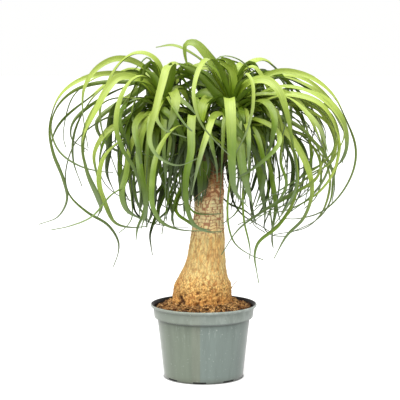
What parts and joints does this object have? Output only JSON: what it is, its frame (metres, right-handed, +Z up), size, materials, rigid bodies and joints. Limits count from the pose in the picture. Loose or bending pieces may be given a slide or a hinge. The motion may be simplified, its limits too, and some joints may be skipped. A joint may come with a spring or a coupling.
{
  "type": "potted ponytail palm",
  "caption": "Small ponytail palm: swollen corky trunk forked into drooping heads of strap leaves, in a tapered plastic nursery pot filled with bark mix.",
  "frame": {"origin": "centre of the pot's flat underside, on the pot's axis", "axes": "+Z up along the pot's axis; -Y towards the front, the side that the picture shows; +X to the right seen from the front"},
  "size_m": [0.5074, 0.3438, 0.5361],
  "materials": {
    "pot_plastic": "grey-green moulded plastic, semi-matt, lightly scuffed",
    "potting_mix": "golden brown bark chips and crumbs",
    "bark": "golden tan corky bark, fissured and crumbly, red-brown at the neck",
    "leaf": "yellow-green strap leaves, satin, fine lengthwise veins"
  },
  "bodies": {
    "root": {"pot": "pot_plastic", "soil": "potting_mix", "trunk": "bark", "head_left": "leaf", "head_middle": "leaf", "head_right": "leaf"}
  },
  "joints": []
}
